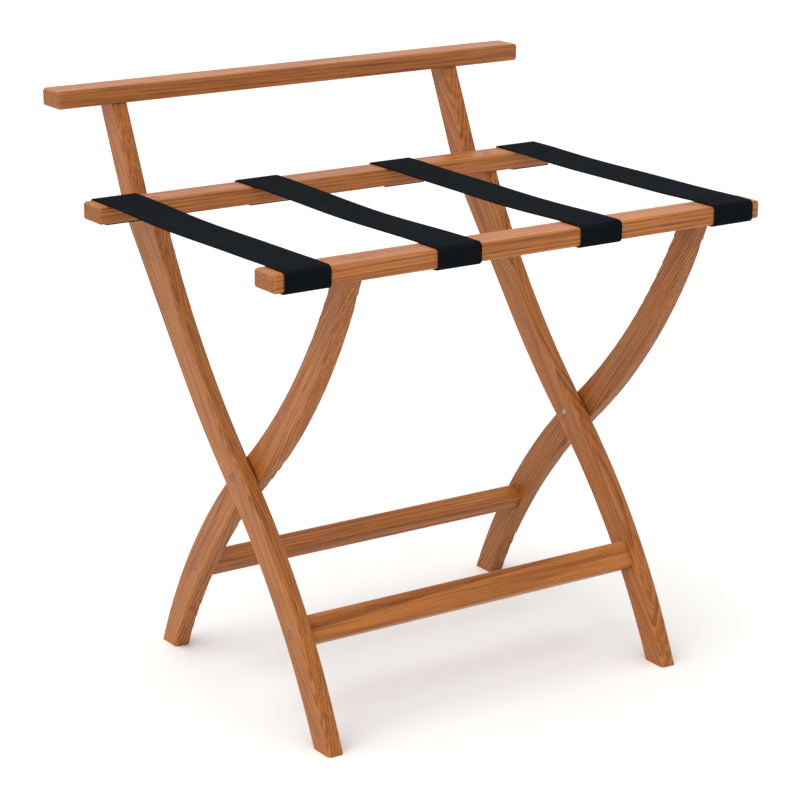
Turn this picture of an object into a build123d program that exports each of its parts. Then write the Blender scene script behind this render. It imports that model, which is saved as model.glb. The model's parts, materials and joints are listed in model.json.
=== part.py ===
"""Folding luggage rack: two crossed S-curved wooden frames, joined by two pivot bolts, with four
webbing straps across the seat rails and a guard rail at the back.

X runs along the rails, Y runs from front to back, Z is up. The origin is on the floor, in the middle
of the rack. All sizes are in millimetres.
"""

from build123d import *

import os
from math import atan2, cos, degrees, hypot, radians, sin, sqrt, tan

# Overall sizes
rail_length = 584.0
back_rail_left_cut = 1.0  # how much shorter the back seat rail is at each end
back_rail_right_cut = 11.0
seat_height = 497.5  # top of the seat rails
overall_height = 603.0  # top of the guard rail
front_reach = 173.0  # from the pivots to the middle of the front seat rail
back_reach = 167.4  # from the pivots to the middle of the back seat rail

# Rails and stretchers
rail_depth = 36.5
rail_height = 19.0
front_stretcher_width = 29.0
back_stretcher_width = 20.0
front_stretcher_thickness = 20.0
back_stretcher_thickness = 22.0
stretcher_height = 106.0  # middle of both stretchers above the floor
edge_radius = 3.5

# Legs
leg_thickness = 17.5
leg_gap = 1.0  # between the two legs of a pair
pivot_width = 33.2  # width of a leg at its pivot
foot_width = 31.2  # width of a foot along Y
curved_top_width = 30.0
curved_bow = 12.33  # degrees by which a leg leans more at its pivot than from end to end
tall_bow = 11.32
tall_back_bow = 3.02  # the same, for the straight upper back edge of a tall leg
tall_back_share = 0.473  # share of the way up to the shelf at which that straight edge starts
curved_foot_reach = 172.7  # from the pivots to the middle of a foot
tall_foot_reach = 164.9
bend_radius = 60.0  # where the tall leg's back edge turns into the post
shelf_setback = 3.8  # a tall leg's shelf starts behind the rail's front face
post_lean = 24.2
post_width = 29.6
foot_straight = 6.0  # height of the straight end of a foot
foot_upright = 13.6  # degrees by which that end stands more upright than the leg does
foot_margin = 8.0  # a leg is rounded this far past the floor, then cut level

# Straps
strap_width = 50.8
strap_thickness = 1.6
strap_count = 4
strap_gap = 2.35  # between an outer strap and the legs beside it
rail_end = 10.85  # of the front seat rail, beyond the outer straps
strap_clearance = 0.3
strap_end_inset = 5.0  # strap ends stop this far short of the rails' inner edges

# Hardware
fit_clearance = 0.02  # radial, between glued or driven pieces and their holes
pivot_clearance = 0.05  # radial, around a turning bolt
plug_diameter = 9.5
plug_length = 4.0
screw_head_diameter = 8.4
screw_head_height = 2.5
screw_diameter = 4.5
screw_length = 42.0  # below the head
screw_tip = 5.0
screw_offset = 5.5  # rail screws stand this far inwards from the rails' middles
bolt_diameter = 6.0
bolt_head_diameter = 9.0
bolt_head_height = 3.0
bolt_play = 0.3  # between a bolt head and the plug over it
bolt_end_length = 0.6  # how far the bolt's domed end stands out of the inner leg
insert_diameter = 9.0
insert_length = 12.0
washer_diameter = 18.0
washer_clearance = 0.05
dowel_diameter = 10.0
dowel_length = 30.0
dowel_in_rail = 11.0
dowel_setback = -3.5  # from the middle of a post's top, along Y
staple_width = 10.0
staple_leg = 8.0
staple_wire = 1.0
staples_per_end = 2

# Worked out from the sizes above
back_rail_length = rail_length - back_rail_left_cut - back_rail_right_cut
back_rail_middle = (back_rail_left_cut - back_rail_right_cut) / 2
strap_pitch = (rail_length - 2 * rail_end - strap_width) / (strap_count - 1)
leg_spacing = rail_length - 2 * (rail_end + strap_width + strap_gap + leg_thickness) - leg_gap
shelf_height = seat_height - rail_height
pivot_height = shelf_height / 2
post_top = overall_height - rail_height
post_depth = post_width / cos(radians(post_lean))
shelf_back = back_reach + rail_depth / 2
post_rise = tan(radians(post_lean)) * (post_top - shelf_height)
guard_reach = shelf_back + post_rise + post_depth / 2
pivot_y = (front_reach - guard_reach) / 2
front_rail_y = pivot_y - front_reach
back_rail_y = pivot_y + back_reach
guard_rail_y = pivot_y + guard_reach
seat_rail_z = seat_height - rail_height / 2
guard_rail_z = overall_height - rail_height / 2
curved_lean = degrees(atan2(front_reach, pivot_height)) + curved_bow
tall_lean = degrees(atan2(back_reach, pivot_height)) + tall_bow
tall_back_lean = degrees(atan2(back_reach, pivot_height)) + tall_back_bow
tall_back_curve = tall_back_share * hypot(back_reach, pivot_height)
foot_lean = degrees(atan2(tall_foot_reach, pivot_height)) - foot_upright
pair_offset = (leg_thickness + leg_gap) / 2
counterbore = plug_length + screw_head_height
left_tall_x = -leg_spacing / 2 - pair_offset  # middles of the legs
left_curved_x = -leg_spacing / 2 + pair_offset
right_tall_x = leg_spacing / 2 - pair_offset
right_curved_x = leg_spacing / 2 + pair_offset
tall_xs = (left_tall_x, right_tall_x)
curved_xs = (left_curved_x, right_curved_x)
head_depth = plug_length + bolt_play
pivot_counterbore = head_depth + bolt_head_height + washer_clearance
strap_bottom = shelf_height - strap_clearance - strap_thickness
strap_xs = [(i - (strap_count - 1) / 2) * strap_pitch for i in range(strap_count)]

os.makedirs("parts", exist_ok=True)


def save(piece, name):
    """Label a finished piece and write its STEP file."""
    piece.part.label = name
    export_step(piece.part, f"parts/{name}.step")


def along(start, angle, length):
    """The point a length away from start, in a direction given in degrees from vertical, towards +Y."""
    return (start[0] + length * sin(radians(angle)), start[1] + length * cos(radians(angle)))


def meet(start_a, angle_a, start_b, angle_b):
    """The point where two lines cross, each given by a point and degrees from vertical."""
    slope_a = tan(radians(angle_a))
    slope_b = tan(radians(angle_b))
    height = (start_b[0] - start_a[0] + slope_a * start_a[1] - slope_b * start_b[1]) / (slope_a - slope_b)
    return (start_a[0] + slope_a * (height - start_a[1]), height)


def heading(angle):
    """Unit direction in the YZ plane, in degrees from vertical."""
    return (sin(radians(angle)), cos(radians(angle)))


def x_plane(x, y, z, facing):
    """A plane square to X at a point, facing +X (1) or -X (-1)."""
    return Plane((x, y, z), x_dir=(0, 1, 0), z_dir=(facing, 0, 0))


def top_plane(x, y, z):
    """A level plane at a point, facing up."""
    return Plane((x, y, z), x_dir=(1, 0, 0), z_dir=(0, 0, 1))


# --- Side outlines of the legs, in the YZ plane ---------------------------------------------------

pivot = (pivot_y, pivot_height)
curved_foot = pivot_y + curved_foot_reach
tall_foot = pivot_y - tall_foot_reach
foot_run = foot_straight * tan(radians(foot_lean))
shelf_front = back_rail_y - rail_depth / 2 + shelf_setback
post_front = pivot_y + shelf_back
post_back = post_front + post_depth


def foot_end(back, front):
    """Run both edges of a foot on below the floor, where the leg is then cut level."""
    reach = foot_straight + foot_margin
    back_end = back @ 1 - (back % 1) * (reach / (back % 1).Y)
    front_end = front @ 1 - (front % 1) * (reach / (front % 1).Y)
    Line(back @ 1, back_end)
    Line(front @ 1, front_end)
    Line(back_end, front_end)


def curved_outline():
    """Closed outline of a curved leg: two tangent arcs on each edge, turning over at the pivot."""
    back_middle = along(pivot, 90 - curved_lean, pivot_width / 2)
    front_middle = along(pivot, -90 - curved_lean, pivot_width / 2)
    up = heading(-curved_lean)
    down = heading(180 - curved_lean)
    top_back = (front_rail_y + curved_top_width / 2, shelf_height)
    top_front = (front_rail_y - curved_top_width / 2, shelf_height)
    foot_back = (curved_foot + foot_width / 2 - foot_run, foot_straight)
    foot_front = (curved_foot - foot_width / 2 - foot_run, foot_straight)
    TangentArc(back_middle, top_back, tangent=up)
    TangentArc(front_middle, top_front, tangent=up)
    Line(top_back, top_front)
    back_low = TangentArc(back_middle, foot_back, tangent=down)
    front_low = TangentArc(front_middle, foot_front, tangent=down)
    foot_end(back_low, front_low)


def tall_outline():
    """Closed outline of a tall leg, with the shelf for the back seat rail and the post above it."""
    back_middle = along(pivot, 90 + tall_lean, pivot_width / 2)
    front_middle = along(pivot, tall_lean - 90, pivot_width / 2)
    up = heading(tall_lean)
    down = heading(180 + tall_lean)
    back_straight = along(back_middle, (tall_lean + tall_back_lean) / 2, tall_back_curve)
    bend = meet(back_straight, tall_back_lean, (post_back, shelf_height), post_lean)
    shelf_edge = (shelf_front, shelf_height)
    post_foot = (post_front, shelf_height)
    post_top_front = (post_front + post_rise, post_top)
    post_top_back = (post_back + post_rise, post_top)
    foot_back = (tall_foot + foot_width / 2 + foot_run, foot_straight)
    foot_front = (tall_foot - foot_width / 2 + foot_run, foot_straight)
    TangentArc(back_middle, back_straight, tangent=up)
    TangentArc(front_middle, shelf_edge, tangent=up)
    FilletPolyline(back_straight, bend, post_top_back, radius=bend_radius)
    Line(post_top_back, post_top_front)
    Line(post_top_front, post_foot)
    Line(post_foot, shelf_edge)
    back_low = TangentArc(back_middle, foot_back, tangent=down)
    front_low = TangentArc(front_middle, foot_front, tangent=down)
    foot_end(back_low, front_low)


def long_edges(leg):
    """Edges along a leg's two side faces, without those of its cut ends and its shelf."""
    sides = leg.faces().filter_by(Axis.X).edges()
    return [e for e in sides if abs(e.tangent_at(0.5).Z) > 0.05]


def counterbored_hole(plane, radius, depth):
    """Screw hole with the counterbore for its head and plug, drilled from the plane."""
    with Locations(plane):
        CounterBoreHole(radius, plug_diameter / 2 + fit_clearance, counterbore, depth)


def centre_at(start, lean, end, height):
    """Where the arc that leaves start at a lean and passes through end is at a height, and its lean."""
    ahead = heading(lean)
    reach = (end[0] - start[0], end[1] - start[1])
    turn = ahead[0] * reach[1] - ahead[1] * reach[0]
    radius = (reach[0] ** 2 + reach[1] ** 2) / (2 * turn)
    middle = (start[0] - radius * ahead[1], start[1] + radius * ahead[0])
    rise = height - middle[1]
    side = 1 if end[0] > middle[0] else -1
    run = side * sqrt(radius**2 - rise**2)
    return (middle[0] + run, height), degrees(atan2(-rise * side, run * side))


# Where the stretchers meet the legs, and how far the legs lean there
front_stretcher_at, front_tilt = centre_at(pivot, 180 + tall_lean, (tall_foot, 0), stretcher_height)
back_stretcher_at, back_tilt = centre_at(pivot, 180 - curved_lean, (curved_foot, 0), stretcher_height)


# --- Where every screw, bolt and dowel goes -------------------------------------------------------

front_rail_screws = [top_plane(x, front_rail_y + screw_offset, seat_height) for x in curved_xs]
back_rail_screws = [top_plane(x, back_rail_y - screw_offset, seat_height) for x in tall_xs]
front_stretcher_screws = [
    x_plane(x + facing * leg_thickness / 2, *front_stretcher_at, facing)
    for x, facing in zip(tall_xs, (-1, 1))
]
back_stretcher_screws = [
    x_plane(x + facing * leg_thickness / 2, *back_stretcher_at, facing)
    for x, facing in zip(curved_xs, (-1, 1))
]
left_pivot = x_plane(left_tall_x - leg_thickness / 2, *pivot, -1)
right_pivot = x_plane(right_curved_x + leg_thickness / 2, *pivot, 1)
dowel_places = [(x, guard_rail_y + dowel_setback, post_top) for x in tall_xs]


from_top = (Align.CENTER, Align.CENTER, Align.MAX)
from_bottom = (Align.CENTER, Align.CENTER, Align.MIN)

# --- Wooden pieces --------------------------------------------------------------------------------


def dowel_holes(places, depth, align):
    """The upright holes for dowels, in the piece being built."""
    for place in places:
        with Locations(place):
            Cylinder(dowel_diameter / 2 + fit_clearance, depth, align=align, mode=Mode.SUBTRACT)


def leg(name, outline, x, rail_screw, stretcher_screw, pivot_plane, is_outer, dowels=()):
    """A leg with its pilot hole on top, its stretcher screw hole, its pivot hole and any dowel hole."""
    with BuildPart() as piece:
        with BuildSketch(Plane.YZ.offset(x - leg_thickness / 2)):
            with BuildLine():
                outline()
            make_face()
        extrude(amount=leg_thickness)
        fillet(long_edges(piece), edge_radius)
        split(bisect_by=Plane.XY)
        with Locations(rail_screw):
            Hole(screw_diameter / 2 + fit_clearance, counterbore + screw_length)
        counterbored_hole(stretcher_screw, screw_diameter / 2 + fit_clearance, leg_thickness)
        if is_outer:
            with Locations(pivot_plane):
                CounterBoreHole(
                    bolt_diameter / 2 + pivot_clearance,
                    plug_diameter / 2 + fit_clearance,
                    pivot_counterbore,
                    leg_thickness,
                )
        else:
            with Locations(pivot_plane.offset(-leg_thickness - leg_gap)):
                Hole(bolt_diameter / 2 + fit_clearance, leg_thickness)
                Hole(insert_diameter / 2 + fit_clearance, insert_length)
        dowel_holes(dowels, dowel_length - dowel_in_rail, from_top)
    save(piece, name)


def rail(name, length, x, y, z, screws=(), staple_places=(), dowels=()):
    """A rail with every edge rounded, and its holes for screws, dowels and staples."""
    with BuildPart() as piece:
        with Locations((x, y, z)):
            Box(length, rail_depth, rail_height)
        fillet(piece.edges(), edge_radius)
        for plane in screws:
            counterbored_hole(plane, screw_diameter / 2 + fit_clearance, rail_height)
        staple_legs(staple_places, staple_wire + 2 * fit_clearance, Mode.SUBTRACT)
        dowel_holes(dowels, dowel_in_rail, from_bottom)
    save(piece, name)


def stretcher(name, xs, centre, tilt, thickness, width, screws):
    """A bar between the inner faces of two legs, tilted with them, with a pilot hole in each end."""
    across = heading(tilt + 90)
    start = xs[0] + leg_thickness / 2
    section = Plane((start, *centre), x_dir=(0, *across), z_dir=(1, 0, 0))
    with BuildPart() as piece:
        with BuildSketch(section):
            RectangleRounded(thickness, width, edge_radius)
        extrude(amount=xs[1] - xs[0] - leg_thickness)
        with Locations(*screws):
            Hole(screw_diameter / 2 + fit_clearance, counterbore + screw_length)
    save(piece, name)


# --- Fasteners ------------------------------------------------------------------------------------


def wood_plugs(name, planes):
    """Round plugs, flush with the faces that they close."""
    with BuildPart() as piece:
        with Locations(*planes):
            Cylinder(plug_diameter / 2, plug_length, align=from_top)
    save(piece, name)


def wood_screws(name, planes):
    """Pan-head wood screws under the plugs."""
    with BuildPart() as piece:
        with Locations(*[plane.offset(-plug_length) for plane in planes]):
            Cylinder(screw_head_diameter / 2, screw_head_height, align=from_top)
        with Locations(*[plane.offset(-counterbore) for plane in planes]):
            Cylinder(screw_diameter / 2, screw_length - screw_tip, align=from_top)
        with Locations(*[plane.offset(-counterbore - screw_length + screw_tip) for plane in planes]):
            Cone(screw_diameter / 10, screw_diameter / 2, screw_tip, align=from_top)
    save(piece, name)


def pivot_set(side, plane):
    """The bolt, threaded insert, washer and plug of one pivot."""
    with BuildPart() as bolt:
        with Locations(plane.offset(-head_depth)):
            Cylinder(bolt_head_diameter / 2, bolt_head_height, align=from_top)
        with Locations(plane.offset(-head_depth - bolt_head_height)):
            length = 2 * leg_thickness + leg_gap - head_depth - bolt_head_height + bolt_end_length
            Cylinder(bolt_diameter / 2, length, align=from_top)
        fillet(bolt.edges().sort_by(Axis(plane.origin, plane.z_dir))[0], bolt_end_length)
    save(bolt, f"pivot_bolt_{side}")
    with BuildPart() as insert:
        with Locations(plane.offset(-leg_thickness - leg_gap)):
            Cylinder(insert_diameter / 2, insert_length, align=from_top)
            Hole(bolt_diameter / 2 + fit_clearance, insert_length)
    save(insert, f"pivot_insert_{side}")
    with BuildPart() as washer:
        with Locations(plane.offset(-leg_thickness - washer_clearance)):
            Cylinder(washer_diameter / 2, leg_gap - 2 * washer_clearance, align=from_top)
            Hole(bolt_diameter / 2 + pivot_clearance, leg_gap)
    save(washer, f"pivot_washer_{side}")
    wood_plugs(f"pivot_plug_{side}", [plane])


def guard_dowels():
    """One dowel up from each post into the guard rail."""
    with BuildPart() as piece:
        with Locations(*[(x, y, z + dowel_in_rail) for x, y, z in dowel_places]):
            Cylinder(dowel_diameter / 2, dowel_length, align=from_top)
    save(piece, "guard_dowels")


# --- Straps and their staples ---------------------------------------------------------------------


def staple_middles(rail_y):
    """The middle of each staple's crown under one seat rail."""
    gap = strap_width / staples_per_end
    offsets = [(i - (staples_per_end - 1) / 2) * gap for i in range(staples_per_end)]
    return [(x + offset, rail_y, strap_bottom) for x in strap_xs for offset in offsets]


def staple_legs(middles, wire, mode):
    """The upright legs of the staples, as pieces or as the holes for them."""
    for x, y, z in middles:
        with Locations((x - staple_width / 2, y, z), (x + staple_width / 2, y, z)):
            Box(wire, wire, staple_leg, align=from_bottom, mode=mode)


def staples(name, middles):
    """Staples driven up through the strap ends into a rail."""
    with BuildPart() as piece:
        staple_legs(middles, staple_wire, Mode.ADD)
        with Locations(*middles):
            Box(staple_width + staple_wire, staple_wire, staple_wire, align=from_top)
    save(piece, name)


def strap(name, x, middles):
    """A webbing strap over both seat rails, down their outer faces and under them."""
    inner_depth = front_reach + back_reach + rail_depth + 2 * strap_clearance
    inner_height = rail_height + 2 * strap_clearance
    inner_radius = edge_radius + strap_clearance
    centre = ((front_rail_y + back_rail_y) / 2, seat_rail_z)
    open_from = front_rail_y + rail_depth / 2 - strap_end_inset
    open_to = back_rail_y - rail_depth / 2 + strap_end_inset
    with BuildPart() as piece:
        with BuildSketch(Plane.YZ.offset(x - strap_width / 2)):
            with Locations(centre):
                RectangleRounded(
                    inner_depth + 2 * strap_thickness,
                    inner_height + 2 * strap_thickness,
                    inner_radius + strap_thickness,
                )
                RectangleRounded(inner_depth, inner_height, inner_radius, mode=Mode.SUBTRACT)
            with Locations(((open_from + open_to) / 2, shelf_height)):
                Rectangle(open_to - open_from, rail_height, mode=Mode.SUBTRACT)
        extrude(amount=strap_width)
        staple_legs(middles, staple_wire + 2 * strap_clearance, Mode.SUBTRACT)
    save(piece, name)


# --- The whole rack -------------------------------------------------------------------------------

front_staples = staple_middles(front_rail_y)
back_staples = staple_middles(back_rail_y)

leg("tall_leg_left", tall_outline, left_tall_x, back_rail_screws[0], front_stretcher_screws[0],
    left_pivot, True, dowel_places[:1])
leg("tall_leg_right", tall_outline, right_tall_x, back_rail_screws[1], front_stretcher_screws[1],
    right_pivot, False, dowel_places[1:])
leg("curved_leg_left", curved_outline, left_curved_x, front_rail_screws[0], back_stretcher_screws[0],
    left_pivot, False)
leg("curved_leg_right", curved_outline, right_curved_x, front_rail_screws[1], back_stretcher_screws[1],
    right_pivot, True)

rail("front_seat_rail", rail_length, 0, front_rail_y, seat_rail_z, front_rail_screws, front_staples)
rail("back_seat_rail", back_rail_length, back_rail_middle, back_rail_y, seat_rail_z, back_rail_screws,
     back_staples)
rail("guard_rail", rail_length, 0, guard_rail_y, guard_rail_z, dowels=dowel_places)

stretcher("front_stretcher", tall_xs, front_stretcher_at, front_tilt, front_stretcher_thickness,
          front_stretcher_width, front_stretcher_screws)
stretcher("back_stretcher", curved_xs, back_stretcher_at, back_tilt, back_stretcher_thickness,
          back_stretcher_width, back_stretcher_screws)

for joint, planes in (
    ("front_rail", front_rail_screws),
    ("back_rail", back_rail_screws),
    ("front_stretcher", front_stretcher_screws),
    ("back_stretcher", back_stretcher_screws),
):
    wood_screws(f"{joint}_screws", planes)
    wood_plugs(f"{joint}_plugs", planes)

pivot_set("left", left_pivot)
pivot_set("right", right_pivot)
guard_dowels()
staples("front_staples", front_staples)
staples("back_staples", back_staples)

for number, strap_x in enumerate(strap_xs, start=1):
    near = [m for m in front_staples + back_staples if abs(m[0] - strap_x) < strap_width / 2]
    strap(f"strap_{number}", strap_x, near)
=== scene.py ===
"""Looks of a folding luggage rack: oiled oak frames, dark webbing straps and small steel fasteners."""

import json
import logging
import math
from dataclasses import dataclass, field
from enum import Enum
from typing import Any, Iterable, Optional, Union

import bmesh
import bpy
from mathutils import Matrix, Vector

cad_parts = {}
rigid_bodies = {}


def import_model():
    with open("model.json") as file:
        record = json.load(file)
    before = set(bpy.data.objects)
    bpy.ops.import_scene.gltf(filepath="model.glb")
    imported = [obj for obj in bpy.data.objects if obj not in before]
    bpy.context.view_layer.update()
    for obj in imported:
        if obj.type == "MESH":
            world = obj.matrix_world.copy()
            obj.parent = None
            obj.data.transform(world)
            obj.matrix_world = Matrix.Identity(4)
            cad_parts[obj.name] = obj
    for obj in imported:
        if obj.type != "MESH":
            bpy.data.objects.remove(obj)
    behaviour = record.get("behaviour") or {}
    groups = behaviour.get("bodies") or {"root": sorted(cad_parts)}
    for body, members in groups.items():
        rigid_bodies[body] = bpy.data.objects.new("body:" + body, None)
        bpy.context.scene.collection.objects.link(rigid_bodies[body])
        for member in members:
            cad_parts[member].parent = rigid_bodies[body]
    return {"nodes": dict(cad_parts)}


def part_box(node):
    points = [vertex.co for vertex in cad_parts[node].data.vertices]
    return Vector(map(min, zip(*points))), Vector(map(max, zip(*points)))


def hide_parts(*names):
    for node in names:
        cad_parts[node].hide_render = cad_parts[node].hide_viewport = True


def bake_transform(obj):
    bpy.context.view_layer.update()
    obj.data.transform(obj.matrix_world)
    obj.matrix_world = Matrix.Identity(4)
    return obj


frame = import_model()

log = logging.getLogger("luggage_rack")

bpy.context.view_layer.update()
Colour = tuple[float, float, float, float]


# --- Shader graph helpers -------------------------------------------------------------------------


class Wire:
    """One number, colour or vector socket in a material, with arithmetic on numbers."""

    def __init__(self, graph: "Graph", socket: bpy.types.NodeSocket) -> None:
        """Wrap a socket.

        Args:
            graph: The graph that the socket belongs to.
            socket: The output socket to wrap.
        """
        self.graph = graph
        self.socket = socket

    def math(self, operation: str, *others: Union["Wire", float], clamp: bool = False) -> "Wire":
        """Add one Math node that starts with this socket.

        Args:
            operation: The Math node's operation.
            others: Its further inputs.
            clamp: Whether the result is kept between 0 and 1.

        Returns:
            The result of the operation.
        """
        settings = {"operation": operation, "use_clamp": clamp}
        return self.graph.node("ShaderNodeMath", settings, [self, *others])

    def __add__(self, other: Union["Wire", float]) -> "Wire":
        """This plus other."""
        return self.math("ADD", other)

    __radd__ = __add__

    def __sub__(self, other: Union["Wire", float]) -> "Wire":
        """This minus other."""
        return self.math("SUBTRACT", other)

    def __rsub__(self, other: float) -> "Wire":
        """Other minus this."""
        return self.math("MULTIPLY", -1.0) + other

    def __mul__(self, other: Union["Wire", float]) -> "Wire":
        """This times other."""
        return self.math("MULTIPLY", other)

    __rmul__ = __mul__

    def __truediv__(self, other: Union["Wire", float]) -> "Wire":
        """This divided by other."""
        return self.math("DIVIDE", other)

    def step(self, low: float, high: float) -> "Wire":
        """A smooth step of this value.

        Args:
            low: Where the result is 0.
            high: Where the result is 1. It may be below low, for a falling step.

        Returns:
            A value from 0 to 1.
        """
        if low > high:
            return 1.0 - self.step(high, low)
        settings = {"interpolation_type": "SMOOTHSTEP"}
        values = {"Value": self, "From Min": low, "From Max": high}
        return self.graph.node("ShaderNodeMapRange", settings, values)


class Graph:
    """The node tree of one material."""

    def __init__(self, name: str) -> None:
        """Make an empty material with its tree.

        Args:
            name: The material's name.
        """
        self.material = bpy.data.materials.new(name)
        self.material.use_nodes = True
        self.tree = self.material.node_tree
        self.tree.nodes.clear()

    def add(
        self,
        kind: str,
        settings: Optional[dict[str, Any]] = None,
        values: Union[dict[str, Any], Iterable[Any], None] = None,
    ) -> bpy.types.Node:
        """Add a node.

        Args:
            kind: The node's type.
            settings: Its properties, which are set first.
            values: Numbers, colours or wires for its inputs, by name or in order.

        Returns:
            The new node.
        """
        node = self.tree.nodes.new(kind)
        for key, value in (settings or {}).items():
            setattr(node, key, value)
        pairs = values.items() if isinstance(values, dict) else enumerate(values or [])
        for key, value in pairs:
            if isinstance(value, Wire):
                self.tree.links.new(value.socket, node.inputs[key])
            else:
                node.inputs[key].default_value = value
        return node

    def node(
        self,
        kind: str,
        settings: Optional[dict[str, Any]] = None,
        values: Union[dict[str, Any], Iterable[Any], None] = None,
        output: Union[str, int] = 0,
    ) -> Wire:
        """Add a node and return one of its outputs.

        Args:
            kind: The node's type.
            settings: Its properties.
            values: Its inputs.
            output: The name or number of the output.

        Returns:
            The chosen output.
        """
        return Wire(self, self.add(kind, settings, values).outputs[output])

    def mix(
        self,
        factor: Union[Wire, float],
        a: Union[Wire, Colour],
        b: Union[Wire, Colour],
        blend: str = "MIX",
    ) -> Wire:
        """Mix two colours.

        Args:
            factor: How much of b is taken.
            a: The first colour.
            b: The second colour.
            blend: The blending mode.

        Returns:
            The mixed colour.
        """
        settings = {"data_type": "RGBA", "blend_type": blend}
        node = self.add("ShaderNodeMix", settings, {0: factor})
        for index, colour in ((6, a), (7, b)):
            if isinstance(colour, Wire):
                self.tree.links.new(colour.socket, node.inputs[index])
            else:
                node.inputs[index].default_value = colour
        return Wire(self, node.outputs[2])

    def axes(self, vector: Wire) -> tuple[Wire, Wire, Wire]:
        """The three numbers of a vector."""
        node = self.add("ShaderNodeSeparateXYZ", None, [vector])
        return Wire(self, node.outputs[0]), Wire(self, node.outputs[1]), Wire(self, node.outputs[2])

    def noise(
        self,
        vector: Wire,
        scale: tuple[float, float, float],
        detail: float = 2.0,
        shift: float = 0.0,
    ) -> Wire:
        """Smooth noise that may be stretched along an axis.

        Args:
            vector: Where it is read, in metres.
            scale: Features per metre along each axis.
            detail: How many finer layers it has.
            shift: Moves the pattern, so that two pieces differ.

        Returns:
            A value round 0.5.
        """
        moved = (shift, shift * 1.7, shift * 0.6)
        place = self.node("ShaderNodeMapping", None, {"Vector": vector, "Scale": scale, "Location": moved})
        values = {"Vector": place, "Scale": 1.0, "Detail": detail, "Roughness": 0.55}
        return self.node("ShaderNodeTexNoise", None, values)

    def finish(self, bump: Optional[Wire], depth: float, strength: float, **sockets: Any) -> bpy.types.Material:
        """End the tree in one Principled shader.

        Args:
            bump: The height of the surface, or None.
            depth: How deep a height of 1 is, in metres.
            strength: The bump's strength.
            sockets: The shader's inputs, with underscores for spaces.

        Returns:
            The finished material.
        """
        values = {name.replace("_", " "): value for name, value in sockets.items()}
        if bump is not None:
            relief = {"Height": bump, "Distance": depth, "Strength": strength}
            values["Normal"] = self.node("ShaderNodeBump", None, relief)
        shader = self.node("ShaderNodeBsdfPrincipled", None, values)
        self.add("ShaderNodeOutputMaterial", None, [shader])
        return self.material


# --- Finishes -------------------------------------------------------------------------------------


@dataclass(frozen=True)
class Board:
    """How one wooden piece was cut from the log.

    Attributes:
        node: The piece.
        lean: Degrees from vertical towards the back, of its grain, or None where it runs along X.
        pith: Middle of the growth rings beside the grain, in metres in the turned axes.
        drift: How fast the rings' middle moves along the grain.
        spacing: Width of a growth ring, in metres.
        tone: Brightness of the piece against the others.
        seed: Makes its pattern its own.
    """

    node: str
    lean: Optional[float]
    pith: tuple[float, float]
    drift: tuple[float, float] = (0.02, 0.01)
    spacing: float = 0.0045
    tone: float = 1.0
    seed: float = 0.0

    def turn(self) -> tuple[float, float, float]:
        """The rotation that stands the grain upright, in radians."""
        if self.lean is None:
            return (0.0, -math.pi / 2, 0.0)
        return (math.radians(self.lean), 0.0, 0.0)

    def grain(self) -> Vector:
        """The direction of the grain."""
        if self.lean is None:
            return Vector((1, 0, 0))
        return Vector((0, math.sin(math.radians(self.lean)), math.cos(math.radians(self.lean))))


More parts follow.
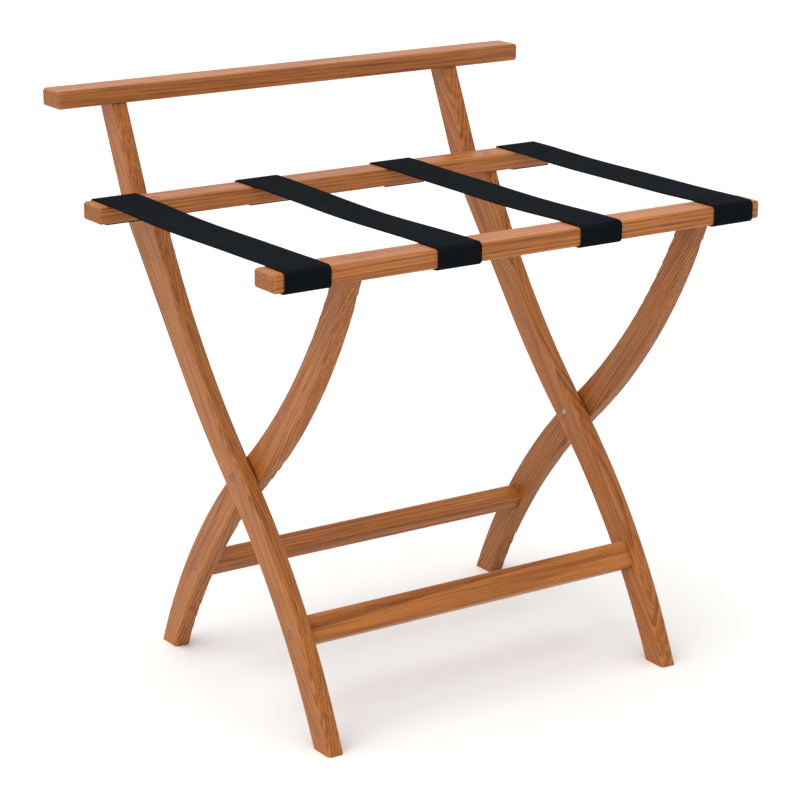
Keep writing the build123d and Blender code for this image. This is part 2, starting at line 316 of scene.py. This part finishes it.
@dataclass(frozen=True)
class OakFinish:
    """Stained and oiled oak with open pores.

    Attributes:
        late: Colour of the dense late wood.
        early: Colour of the open early wood.
        pore: Colour inside the pores.
        roughness: How dull it is between the pores.
        rail_sway: How much the rings of a rail or stretcher wander, against a leg's.
    """

    late: Colour = (0.464, 0.163, 0.036, 1.0)
    early: Colour = (0.230, 0.060, 0.010, 1.0)
    pore: Colour = (0.085, 0.020, 0.006, 1.0)
    roughness: float = 0.40
    rail_sway: float = 0.4

    def material(self, board: Board) -> bpy.types.Material:
        """Make the finish for one board.

        Args:
            board: How that board was cut.

        Returns:
            The material.
        """
        graph = Graph(f"oak_{board.node}")
        coordinates = graph.add("ShaderNodeTexCoord")
        place = Wire(graph, coordinates.outputs["Object"])
        normal = Wire(graph, coordinates.outputs["Normal"])
        turned = graph.node("ShaderNodeMapping", None, {"Vector": place, "Rotation": board.turn()})
        x, y, z = graph.axes(turned)
        sway = graph.noise(turned, (7, 7, 2.2), 2, board.seed) - 0.5
        wave = graph.noise(turned, (26, 26, 5.5), 2, board.seed + 5) - 0.5
        calm = self.rail_sway if board.lean is None else 1.0
        across = x - board.pith[0] + z * board.drift[0] + (sway * 0.018 + wave * 0.0035) * calm
        aside = y - board.pith[1] + z * board.drift[1]
        radius = (across * across + aside * aside).math("SQRT")
        count = radius / board.spacing + board.seed
        ring = count.math("FRACT")
        strength = graph.node("ShaderNodeTexWhiteNoise", {"noise_dimensions": "1D"}, {"W": count.math("FLOOR")})
        early = ring.step(0.0, 0.14) * ring.step(0.85, 0.2) * (0.35 + 0.65 * strength)
        fibre = graph.noise(turned, (520, 520, 7), 3, board.seed)
        streak = graph.noise(turned, (400, 400, 6.0), 2, board.seed + 2)
        pores = graph.noise(turned, (900, 900, 24), 1, board.seed).step(0.52, 0.64) * (0.3 + 0.7 * early)
        fleck = graph.noise(turned, (900, 2200, 120), 1, board.seed).step(0.66, 0.76)
        patch = graph.noise(turned, (10, 10, 4), 2, board.seed + 9)
        colour = graph.mix(early * 0.8, self.late, self.early)
        colour = graph.mix(streak.step(0.47, 0.66) * 0.62, colour, self.early)
        colour = graph.mix(pores * 0.62, colour, self.pore)
        colour = graph.mix(fleck * 0.12, colour, self.early)
        towards = {0: normal, 1: board.grain()}
        facing = graph.node("ShaderNodeVectorMath", {"operation": "DOT_PRODUCT"}, towards, "Value")
        end = facing.math("ABSOLUTE").step(0.8, 0.97)
        shade = (0.82 + 0.36 * fibre) * (0.84 + 0.32 * patch) * board.tone * (1.0 - 0.26 * end)
        colour = graph.mix(1.0, colour, self.grey(graph, shade), "MULTIPLY")
        rough = self.roughness + 0.16 * pores + 0.10 * (fibre - 0.5) + 0.12 * end
        height = 0.35 * fibre - 0.9 * pores - 0.25 * early
        return graph.finish(height, 0.0003, 0.30, Base_Color=colour, Roughness=rough, Specular_IOR_Level=0.27)

    @staticmethod
    def grey(graph: Graph, value: Wire) -> Wire:
        """A number as a grey colour."""
        return graph.node("ShaderNodeCombineColor", None, [value, value, value])


@dataclass(frozen=True)
class PlugFinish:
    """A small oak plug, a shade darker than the wood round it, with a thin dark line where it was glued in.

    Attributes:
        tone: Brightness of the plug.
        line: Colour of the glue line.
    """

    tone: float = 0.74
    line: Colour = (0.10, 0.035, 0.014, 1.0)

    def material(self, node: str) -> bpy.types.Material:
        """Make the finish for one node of plugs.

        Args:
            node: The plugs' node.

        Returns:
            The material.
        """
        low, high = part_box(node)
        size = high - low
        upright = size.z < size.y * 0.7
        radius = size.y / 2
        middle = (low + high) / 2
        graph = Graph(f"oak_{node}")
        place = graph.node("ShaderNodeTexCoord", None, None, "Object")
        x, y, z = graph.axes(place)
        if upright:
            side = (x - middle.x).math("ABSOLUTE") - (size.x / 2 - radius)
        else:
            side = z - middle.z
        other = y - middle.y
        out = (side * side + other * other).math("SQRT")
        rim = out.step(radius * 0.80, radius * 0.97)
        grain = graph.noise(place, (900, 260, 60) if upright else (40, 300, 900), 3, 3.0)
        spots = graph.noise(place, (1500, 1500, 1500), 1, 1.0).step(0.52, 0.66)
        oak = OakFinish()
        colour = graph.mix(grain.step(0.35, 0.7), oak.late, oak.early)
        colour = graph.mix(spots * 0.4, colour, oak.pore)
        colour = graph.mix(1.0, colour, (self.tone, self.tone, self.tone, 1.0), "MULTIPLY")
        colour = graph.mix(rim, colour, self.line)
        height = 0.4 * grain - 0.6 * spots - 0.8 * rim
        return graph.finish(height, 0.0003, 0.5, Base_Color=colour, Roughness=0.5 + 0.15 * rim)


@dataclass(frozen=True)
class WebbingFinish:
    """Woven webbing, read from a UV map in metres: across the strap, then along it.

    Attributes:
        yarn: Colour of the yarn.
        lighter_yarn: Lighter colour, mixed in on the weave's raised crowns, on fine fibres and in large soil
            patches.
        across: Repeat of the weave across the strap.
        along: Repeat of the weave along the strap.
        width: The strap's width.
    """

    yarn: Colour = (0.0032, 0.0044, 0.0060, 1.0)
    lighter_yarn: Colour = (0.0105, 0.0128, 0.0158, 1.0)
    across: float = 0.0011
    along: float = 0.0016
    width: float = 0.0508

    def material(self) -> bpy.types.Material:
        """Make the finish.

        Returns:
            The material.
        """
        graph = Graph("black_webbing")
        flat = graph.node("ShaderNodeUVMap", {"uv_map": "Webbing"}, None)
        object_place = graph.node("ShaderNodeTexCoord", None, None, "Object")
        u, v, _ = graph.axes(flat)
        edge = (u - self.width / 2).math("ABSOLUTE")
        selvedge = edge.step(self.width / 2 - 0.0030, self.width / 2 - 0.0022)
        turn = 2 * math.pi
        slant = (edge * (turn / 0.0092)).math("SINE") * 0.0009
        warp = (u * (turn / self.across)).math("SINE")
        weft = ((v + slant) * (turn / self.along)).math("SINE")
        weave = 0.5 + 0.5 * warp * weft
        ribs = 0.5 + 0.5 * ((v + slant) * (math.pi / self.along)).math("SINE").math("ABSOLUTE")
        edging = 0.5 + 0.5 * (u * (turn / 0.0008)).math("SINE")
        height = (1.0 - selvedge) * (0.6 * weave + 0.5 * ribs) + selvedge * (0.5 + 0.4 * edging)
        fuzz = graph.noise(object_place, (1800, 1800, 1800), 3)
        soil = graph.noise(object_place, (22, 22, 22), 3)
        # Lighter on the weave's raised crowns, on fine fibres and in large soil patches, darker in the weave's
        # hollows.
        light = (height * 0.42 + fuzz * 0.34 + soil * 0.24).step(0.36, 0.92)
        colour = graph.mix(light, self.yarn, self.lighter_yarn)
        return graph.finish(
            height + 0.35 * fuzz, 0.0004, 0.55,
            Base_Color=colour, Roughness=0.84 + 0.12 * fuzz,
            Specular_IOR_Level=0.02,
        )


@dataclass(frozen=True)
class MetalFinish:
    """Plain metal with fine turning or rolling marks.

    Attributes:
        name: The material's name.
        base: Its colour.
        dull: The colour of its tarnish.
        roughness: How dull it is.
        metallic: 1 for metal and 0 for plastic.
    """

    name: str
    base: Colour
    dull: Colour
    roughness: float
    metallic: float = 1.0

    def material(self) -> bpy.types.Material:
        """Make the finish.

        Returns:
            The material.
        """
        graph = Graph(self.name)
        place = graph.node("ShaderNodeTexCoord", None, None, "Object")
        marks = graph.noise(place, (400, 2600, 2600), 2)
        tarnish = graph.noise(place, (260, 260, 260), 3).step(0.45, 0.75)
        colour = graph.mix(tarnish * 0.6, self.base, self.dull)
        rough = self.roughness + 0.2 * (marks - 0.5) + 0.14 * tarnish
        return graph.finish(
            marks - 0.3 * tarnish, 0.00008, 0.35,
            Base_Color=colour, Roughness=rough, Metallic=self.metallic,
        )


class Fitting(Enum):
    """The metal and plastic finishes of the small fittings."""

    SCREW = MetalFinish("zinc_screw", (0.58, 0.58, 0.57, 1.0), (0.32, 0.31, 0.29, 1.0), 0.34)
    BOLT = MetalFinish("satin_steel", (0.30, 0.31, 0.32, 1.0), (0.16, 0.16, 0.16, 1.0), 0.42)
    INSERT = MetalFinish("plain_brass", (0.72, 0.52, 0.24, 1.0), (0.38, 0.25, 0.10, 1.0), 0.38)
    WASHER = MetalFinish("dark_nylon", (0.020, 0.019, 0.018, 1.0), (0.045, 0.042, 0.040, 1.0), 0.55, 0.0)


# --- Mesh helpers ---------------------------------------------------------------------------------


def only(piece: bpy.types.Object) -> None:
    """Select one object alone and make it active."""
    for other in bpy.context.view_layer.objects:
        other.select_set(False)
    piece.select_set(True)
    bpy.context.view_layer.objects.active = piece


def select_edge_at(piece: bpy.types.Object, y: float, z: float) -> None:
    """In edit mode, select just the crosswise edge that lies at a height and depth.

    Args:
        piece: The mesh being edited.
        y: The edge's Y, in metres.
        z: The edge's Z, in metres.
    """
    mesh = bmesh.from_edit_mesh(piece.data)
    for item in (*mesh.faces, *mesh.edges, *mesh.verts):
        item.select = False
    for edge in mesh.edges:
        near = all(abs(v.co.y - y) < 2e-5 and abs(v.co.z - z) < 2e-5 for v in edge.verts)
        if near and len(edge.link_faces) < 2:
            edge.select_set(True)
    bmesh.update_edit_mesh(piece.data)


# --- Straps ---------------------------------------------------------------------------------------


@dataclass
class Strap:
    """One webbing strap: under the front seat rail, up over both rails, and under the back one.

    Attributes:
        node: The solid that it stands for.
        thickness: The webbing's thickness.
        corner: Radius of the strap's inner face where it turns round a rail.
        sag: How far the middle of the strap hangs below the rails' tops.
        steps: How many lengths the free span is divided into.
        end_inset: How far the strap's ends stop short of the rails' inner edges.
        span_inset: How far inside a rail's inner edge the free span starts.
        length: Length of the webbing, once it has been modelled.
    """

    node: str
    thickness: float = 0.0016
    corner: float = 0.0038
    sag: float = 0.0025
    steps: int = 36
    end_inset: float = 0.005
    span_inset: float = 0.004
    length: float = field(default=0.0, init=False)

    def __post_init__(self) -> None:
        """Read the strap's and the rails' places."""
        self.low, self.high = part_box(self.node)
        self.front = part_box("front_seat_rail")
        self.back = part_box("back_seat_rail")
        self.width = self.high.x - self.low.x

    def route(self) -> list[tuple[str, float, float]]:
        """List the steps that lead the webbing round both rails.

        Returns:
            Straight moves as ("move", y, z), and quarter turns as ("turn", y, z) about a centre.
        """
        half = self.thickness / 2
        bend = self.corner + half
        y0, y1 = self.low.y + half, self.high.y - half
        z0, z1 = self.low.z + half, self.high.z - half
        steps: list[tuple[str, float, float]] = []
        front_inner = self.front[1].y - self.end_inset
        steps.append(("move", (front_inner + y0 + bend) / 2, z0))
        steps.append(("move", y0 + bend, z0))
        steps.append(("turn", y0 + bend, z0 + bend))
        steps.append(("move", y0, z1 - bend))
        steps.append(("turn", y0 + bend, z1 - bend))
        span_from = self.front[1].y - self.span_inset
        span_to = self.back[0].y + self.span_inset
        for part in (0.33, 0.66, 1.0):
            steps.append(("move", y0 + bend + (span_from - y0 - bend) * part, z1))
        for i in range(1, self.steps + 1):
            t = i / self.steps
            drop = self.sag * (4 * t * (1 - t)) ** 1.15
            steps.append(("move", span_from + (span_to - span_from) * t, z1 - drop))
        for part in (0.33, 0.66, 1.0):
            steps.append(("move", span_to + (y1 - bend - span_to) * part, z1))
        steps.append(("turn", y1 - bend, z1 - bend))
        steps.append(("move", y1, z0 + bend))
        steps.append(("turn", y1 - bend, z0 + bend))
        back_inner = self.back[0].y + self.end_inset
        steps.append(("move", (back_inner + y1 - bend) / 2, z0))
        steps.append(("move", back_inner, z0))
        return steps

    def build(self) -> bpy.types.Object:
        """Model the webbing as one ribbon, led round the rails and then given its thickness.

        Returns:
            The strap, with a UV map in metres.
        """
        half = self.thickness / 2
        start = (self.front[1].y - self.end_inset, self.low.z + half)
        bpy.ops.mesh.primitive_plane_add(size=1.0, location=(0, 0, 0))
        piece = bpy.context.object
        piece.name = f"{self.node}_webbing"
        only(piece)
        bpy.ops.object.mode_set(mode="EDIT")
        bpy.ops.mesh.select_all(action="SELECT")
        bpy.ops.mesh.delete(type="ONLY_FACE")
        self.first_edge(piece, start)
        path = [Vector((0, *start))]
        for kind, y, z in self.route():
            here = path[-1]
            select_edge_at(piece, here.y, here.z)
            if kind == "move":
                shift = (0, y - here.y, z - here.z)
                bpy.ops.mesh.extrude_edges_move(TRANSFORM_OT_translate={"value": shift})
                path.append(Vector((0, y, z)))
            else:
                bpy.ops.mesh.spin(steps=6, angle=math.pi / 2, center=(0, y, z), axis=(1, 0, 0))
                arm = here - Vector((0, y, z))
                for i in range(1, 7):
                    path.append(Vector((0, y, z)) + Matrix.Rotation(-math.pi / 12 * i, 3, "X") @ arm)
        bpy.ops.mesh.select_all(action="SELECT")
        bpy.ops.mesh.remove_doubles(threshold=0.00002)
        bpy.ops.mesh.normals_make_consistent(inside=False)
        bpy.ops.object.mode_set(mode="OBJECT")
        self.divide(piece)
        self.unwrap(piece, path)
        self.thicken(piece)
        return piece

    def first_edge(self, piece: bpy.types.Object, start: tuple[float, float]) -> None:
        """Shrink the first plane's outline to the strap's first edge.

        Args:
            piece: The mesh being edited.
            start: The edge's Y and Z.
        """
        mesh = bmesh.from_edit_mesh(piece.data)
        ends = sorted(mesh.verts, key=lambda v: (v.co.y, v.co.x))
        bmesh.ops.delete(mesh, geom=ends[2:], context="VERTS")
        left, right = sorted(mesh.verts, key=lambda v: v.co.x)
        left.co = Vector((self.low.x, *start))
        right.co = Vector((self.high.x, *start))
        bmesh.update_edit_mesh(piece.data)

    def divide(self, piece: bpy.types.Object) -> None:
        """Cut the ribbon lengthwise, so that its edges and its middle can differ.

        Args:
            piece: The ribbon.
        """
        only(piece)
        for part in (0.03, 0.25, 0.5, 0.75, 0.97):
            bpy.ops.object.mode_set(mode="EDIT")
            bpy.ops.mesh.select_all(action="SELECT")
            cut = (self.low.x + self.width * part, 0, 0)
            bpy.ops.mesh.bisect(plane_co=cut, plane_no=(1, 0, 0))
            bpy.ops.object.mode_set(mode="OBJECT")

    def unwrap(self, piece: bpy.types.Object, path: list[Vector]) -> None:
        """Write the UV map: metres across the webbing and metres along it.

        Args:
            piece: The ribbon.
            path: The middle line that it follows.
        """
        runs = [0.0]
        for a, b in zip(path, path[1:]):
            runs.append(runs[-1] + (b - a).length)
        self.length = runs[-1]
        layer = piece.data.uv_layers.new(name="Webbing")
        for loop in piece.data.loops:
            spot = piece.data.vertices[loop.vertex_index].co
            at = min(range(len(path)), key=lambda i: (path[i].y - spot.y) ** 2 + (path[i].z - spot.z) ** 2)
            layer.data[loop.index].uv = (spot.x - self.low.x, runs[at])

    def thicken(self, piece: bpy.types.Object) -> None:
        """Give the ribbon its thickness and soft edges.

        Args:
            piece: The ribbon.
        """
        only(piece)
        solid = piece.modifiers.new("Thickness", "SOLIDIFY")
        solid.thickness = self.thickness
        solid.offset = 0.0
        soft = piece.modifiers.new("Soft edges", "BEVEL")
        soft.width = self.thickness * 0.32
        soft.segments = 2
        soft.angle_limit = math.radians(50)
        for name in ("Thickness", "Soft edges"):
            bpy.ops.object.modifier_apply(modifier=name)
        bpy.ops.object.shade_smooth_by_angle(angle=math.radians(40))


@dataclass
class StrapSet:
    """The straps across the seat rails.

    Attributes:
        nodes: The straps' solids, from the left.
        finish: Their finish.
    """

    nodes: tuple[str, ...] = ("strap_1", "strap_2", "strap_3", "strap_4")
    finish: WebbingFinish = WebbingFinish()

    def build(self) -> list[bpy.types.Object]:
        """Model the first strap and copy it to the others' places.

        Returns:
            The straps.
        """
        pattern = Strap(self.nodes[0])
        first = pattern.build()
        first.data.materials.clear()
        first.data.materials.append(self.finish.material())
        made = [first]
        for node in self.nodes[1:]:
            copy = first.copy()
            copy.data = first.data.copy()
            copy.name = f"{node}_webbing"
            bpy.context.scene.collection.objects.link(copy)
            copy.data.transform(Matrix.Translation((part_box(node)[0].x - pattern.low.x, 0, 0)))
            made.append(copy)
        for number, (node, piece) in enumerate(zip(self.nodes, made)):
            self.slacken(piece, pattern, number)
            self.attach(piece, node, pattern)
        return made

    def slacken(self, piece: bpy.types.Object, pattern: Strap, number: int) -> None:
        """Let the free span of one strap lie a little unevenly.

        Args:
            piece: The strap.
            pattern: The strap's sizes.
            number: Which strap it is, from 0.
        """
        start, end = pattern.front[1].y, pattern.back[0].y
        middle = sum(v.co.x for v in piece.data.vertices) / len(piece.data.vertices)
        for vertex in piece.data.vertices:
            t = (vertex.co.y - start) / (end - start)
            if 0 < t < 1 and vertex.co.z > pattern.front[1].z - 0.009:
                free = 4 * t * (1 - t)
                aside = (vertex.co.x - middle) / (pattern.width / 2)
                ripple = math.sin(2.2 * math.pi * t + 1.7 * number) * 0.0006
                cup = (aside * aside - 0.4) * 0.0007
                tilt = aside * 0.0006 * math.cos(1.9 * number + 1.3)
                vertex.co.z += free * (ripple + cup + tilt)

    def attach(self, piece: bpy.types.Object, node: str, pattern: Strap) -> None:
        """Bake one strap's place into its mesh, hide the solid that it stands for, and log the webbing's length.

        Args:
            piece: The strap.
            node: The solid that it stands for.
            pattern: The strap's sizes.
        """
        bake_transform(piece)
        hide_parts(node)
        log.info("%s: %.0f mm of webbing", piece.name, pattern.length * 1000)


# --- Wooden frames and fittings -------------------------------------------------------------------


@dataclass
class Woodwork:
    """The oak pieces and the plugs that close their screw holes.

    Attributes:
        finish: Finish of the boards.
        plug: Finish of the plugs.
        boards: How each piece was cut.
        plugs: The plugs' nodes.
    """

    finish: OakFinish = OakFinish()
    plug: PlugFinish = PlugFinish()
    boards: tuple[Board, ...] = (
        Board("tall_leg_left", 38.0, (0.045, 0.030), (0.035, 0.02), 0.0027, 0.95, 1.3),
        Board("tall_leg_right", 38.0, (0.262, -0.014), (-0.10, 0.06), 0.0034, 0.97, 7.9),
        Board("curved_leg_left", -38.0, (-0.145, 0.020), (0.03, -0.03), 0.0031, 0.93, 3.1),
        Board("curved_leg_right", -38.0, (0.280, 0.060), (0.05, 0.03), 0.0030, 0.84, 5.7),
        Board("guard_rail", None, (-0.56, 0.150), (0.012, 0.016), 0.0027, 1.0, 2.2),
        Board("back_seat_rail", None, (-0.44, 0.165), (0.02, -0.014), 0.0028, 1.0, 8.4),
        Board("front_seat_rail", None, (-0.455, -0.255), (0.024, 0.02), 0.0032, 1.04, 4.6),
        Board("front_stretcher", None, (-0.084, -0.132), (0.010, 0.012), 0.0060, 1.0, 6.5),
        Board("back_stretcher", None, (-0.150, 0.110), (0.014, 0.010), 0.0040, 1.0, 9.1),
    )
    plugs: tuple[str, ...] = (
        "front_rail_plugs",
        "back_rail_plugs",
        "front_stretcher_plugs",
        "back_stretcher_plugs",
        "pivot_plug_left",
        "pivot_plug_right",
    )

    def dress(self) -> None:
        """Give every wooden piece its own cut of oak."""
        for board in self.boards:
            paint(board.node, self.finish.material(board))
        for node in self.plugs:
            paint(node, self.plug.material(node))
        paint("guard_dowels", self.finish.material(Board("guard_dowels", 0.0, (0.05, 0.05), tone=1.02)))


@dataclass
class Fittings:
    """The screws, bolts, inserts, washers and staples.

    Attributes:
        finishes: The finish of each node.
    """

    finishes: dict[str, Fitting] = field(
        default_factory=lambda: {
            "front_rail_screws": Fitting.SCREW,
            "back_rail_screws": Fitting.SCREW,
            "front_stretcher_screws": Fitting.SCREW,
            "back_stretcher_screws": Fitting.SCREW,
            "front_staples": Fitting.SCREW,
            "back_staples": Fitting.SCREW,
            "pivot_bolt_left": Fitting.BOLT,
            "pivot_bolt_right": Fitting.BOLT,
            "pivot_insert_left": Fitting.INSERT,
            "pivot_insert_right": Fitting.INSERT,
            "pivot_washer_left": Fitting.WASHER,
            "pivot_washer_right": Fitting.WASHER,
        }
    )

    def dress(self) -> None:
        """Give every fitting its finish."""
        made = {kind: kind.value.material() for kind in Fitting}
        for node, kind in self.finishes.items():
            paint(node, made[kind])


def paint(node: str, material: bpy.types.Material) -> None:
    """Put a material in every slot of a node.

    Args:
        node: The node's name.
        material: Its new material.
    """
    piece = frame["nodes"][node]
    if not piece.material_slots:
        piece.data.materials.append(material)
    for slot in piece.material_slots:
        slot.material = material
    log.info("%s: %s", node, material.name)


# --- Studio ---------------------------------------------------------------------------------------


@dataclass
class Studio:
    """A pale floor under soft light, and the camera.

    Attributes:
        eye: Where the camera stands, in metres.
        yaw: Degrees that it looks to the right of straight back.
        pitch: Degrees that it looks down.
        roll: Degrees that it leans.
        lens: Focal length over a 36 mm sensor, in millimetres.
        sky: Strength of the even light from all round.
        overhead: Strength of the light from above, in watts per square metre.
        side: Strength of the light from the left, in watts per square metre.
    """

    eye: tuple[float, float, float] = (-1.5113, -2.2447, 1.0791)
    yaw: float = 33.98
    pitch: float = 16.56
    roll: float = 0.17
    lens: float = 119.82
    sky: float = 0.33
    overhead: float = 2.95
    side: float = 0.50

    def camera(self) -> None:
        """Set the camera up."""
        yaw, pitch, roll = (math.radians(a) for a in (self.yaw, self.pitch, self.roll))
        ahead = Vector((math.sin(yaw) * math.cos(pitch), math.cos(yaw) * math.cos(pitch), -math.sin(pitch)))
        level = Vector((math.cos(yaw), -math.sin(yaw), 0))
        upward = level.cross(ahead)
        right = level * math.cos(roll) + upward * math.sin(roll)
        top = upward * math.cos(roll) - level * math.sin(roll)
        data = bpy.data.cameras.new("Camera")
        data.lens = self.lens
        data.sensor_width = 36.0
        data.clip_end = 100.0
        camera = bpy.data.objects.new("Camera", data)
        turn = Matrix((right, top, -ahead)).transposed().to_4x4()
        camera.matrix_world = Matrix.Translation(self.eye) @ turn
        bpy.context.scene.collection.objects.link(camera)
        bpy.context.scene.camera = camera

    def floor(self) -> None:
        """Lay the floor."""
        bpy.ops.mesh.primitive_plane_add(size=60.0, location=(0, 0, 0))
        floor = bpy.context.object
        floor.name = "floor"
        graph = Graph("pale_floor")
        floor.data.materials.append(
            graph.finish(None, 0.0, 0.0, Base_Color=(0.93, 0.93, 0.925, 1.0), Roughness=0.9, Specular_IOR_Level=0.1)
        )

    def sun(self, name: str, towards: tuple[float, float, float], spread: float, strength: float) -> None:
        """Add one even, soft light that reaches the whole floor alike.

        Args:
            name: The light's name.
            towards: The direction that the light comes from.
            spread: How wide its source is, in degrees.
            strength: Its strength, in watts per square metre.
        """
        data = bpy.data.lights.new(name, "SUN")
        data.angle = math.radians(spread)
        data.energy = strength
        data.color = (1.0, 0.995, 0.98)
        lamp = bpy.data.objects.new(name, data)
        lamp.rotation_euler = Vector(towards).to_track_quat("Z", "Y").to_euler()
        bpy.context.scene.collection.objects.link(lamp)

    def light(self) -> None:
        """Light the room: a dim even sky that is seen as white, a broad light overhead and one at the left."""
        world = bpy.data.worlds.new("Studio")
        world.use_nodes = True
        tree = world.node_tree
        sky = tree.nodes["Background"]
        sky.inputs["Color"].default_value = (1.0, 1.0, 1.0, 1.0)
        rays = tree.nodes.new("ShaderNodeLightPath")
        level = tree.nodes.new("ShaderNodeMapRange")
        level.inputs["To Min"].default_value = 1.0
        level.inputs["To Max"].default_value = self.sky
        tree.links.new(rays.outputs["Is Diffuse Ray"], level.inputs["Value"])
        tree.links.new(level.outputs["Result"], sky.inputs["Strength"])
        bpy.context.scene.world = world
        bpy.context.scene.view_settings.view_transform = "Standard"
        self.sun("overhead", (-0.28, 0.05, 1.0), 90.0, self.overhead)
        self.sun("left_side", (-1.0, -0.35, 0.45), 50.0, self.side)

    def build(self) -> None:
        """Make the floor, the lights and the camera."""
        self.floor()
        self.light()
        self.camera()


def main() -> None:
    """Build the looks of the rack in order."""
    logging.basicConfig(level=logging.INFO, format="%(name)s %(message)s")
    Woodwork().dress()
    Fittings().dress()
    StrapSet().build()
    Studio().build()


if __name__ == "__main__":
    main()
